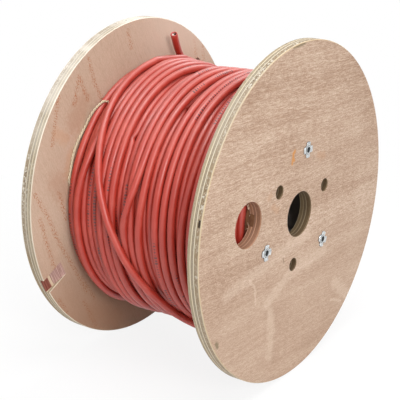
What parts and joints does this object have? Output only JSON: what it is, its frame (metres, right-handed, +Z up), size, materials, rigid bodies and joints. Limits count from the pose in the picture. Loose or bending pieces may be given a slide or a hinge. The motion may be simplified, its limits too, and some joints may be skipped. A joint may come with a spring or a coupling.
{
  "type": "plywood cable reel",
  "caption": "Plywood cable reel full of red two-core cable: drilled flanges on a fibre drum tube, clamped by tie bolts, with the cable's cut end laced through the rear flange.",
  "frame": {"origin": "middle of the reel, on the axis of the arbor bore, halfway between the flanges", "axes": "+Y along the arbor bore, from the front flange with the access hole to the rear flange; +Z up, with the reel standing on both rims; +X to the right as the front flange is looked at"},
  "size_m": [0.4, 0.2861, 0.4],
  "materials": {
    "plywood": "bare rotary-cut plywood, sanded",
    "fibre": "wound brown fibre board",
    "zinc": "bright zinc plate",
    "cable_sheath": "satin red PVC",
    "core_black": "black insulation",
    "core_white": "white insulation",
    "copper": "bare copper, cut",
    "twine": "cream twine"
  },
  "bodies": {
    "root": {"front_flange": "plywood", "rear_flange": "plywood", "drum_tube": "fibre", "tee_nut_1": "zinc", "tee_nut_2": "zinc", "tee_nut_3": "zinc", "tie_bolt_1": "zinc", "tie_bolt_2": "zinc", "tie_bolt_3": "zinc", "bolt_washer_1": "zinc", "bolt_washer_2": "zinc", "bolt_washer_3": "zinc", "cable_bulk": "cable_sheath", "cable_outer_layer": "cable_sheath", "cable_end_loop": "cable_sheath", "cable_cut_end": "cable_sheath", "core_black": "core_black", "core_white": "core_white", "copper_conductors": "copper", "tie_twine": "twine"}
  },
  "joints": []
}
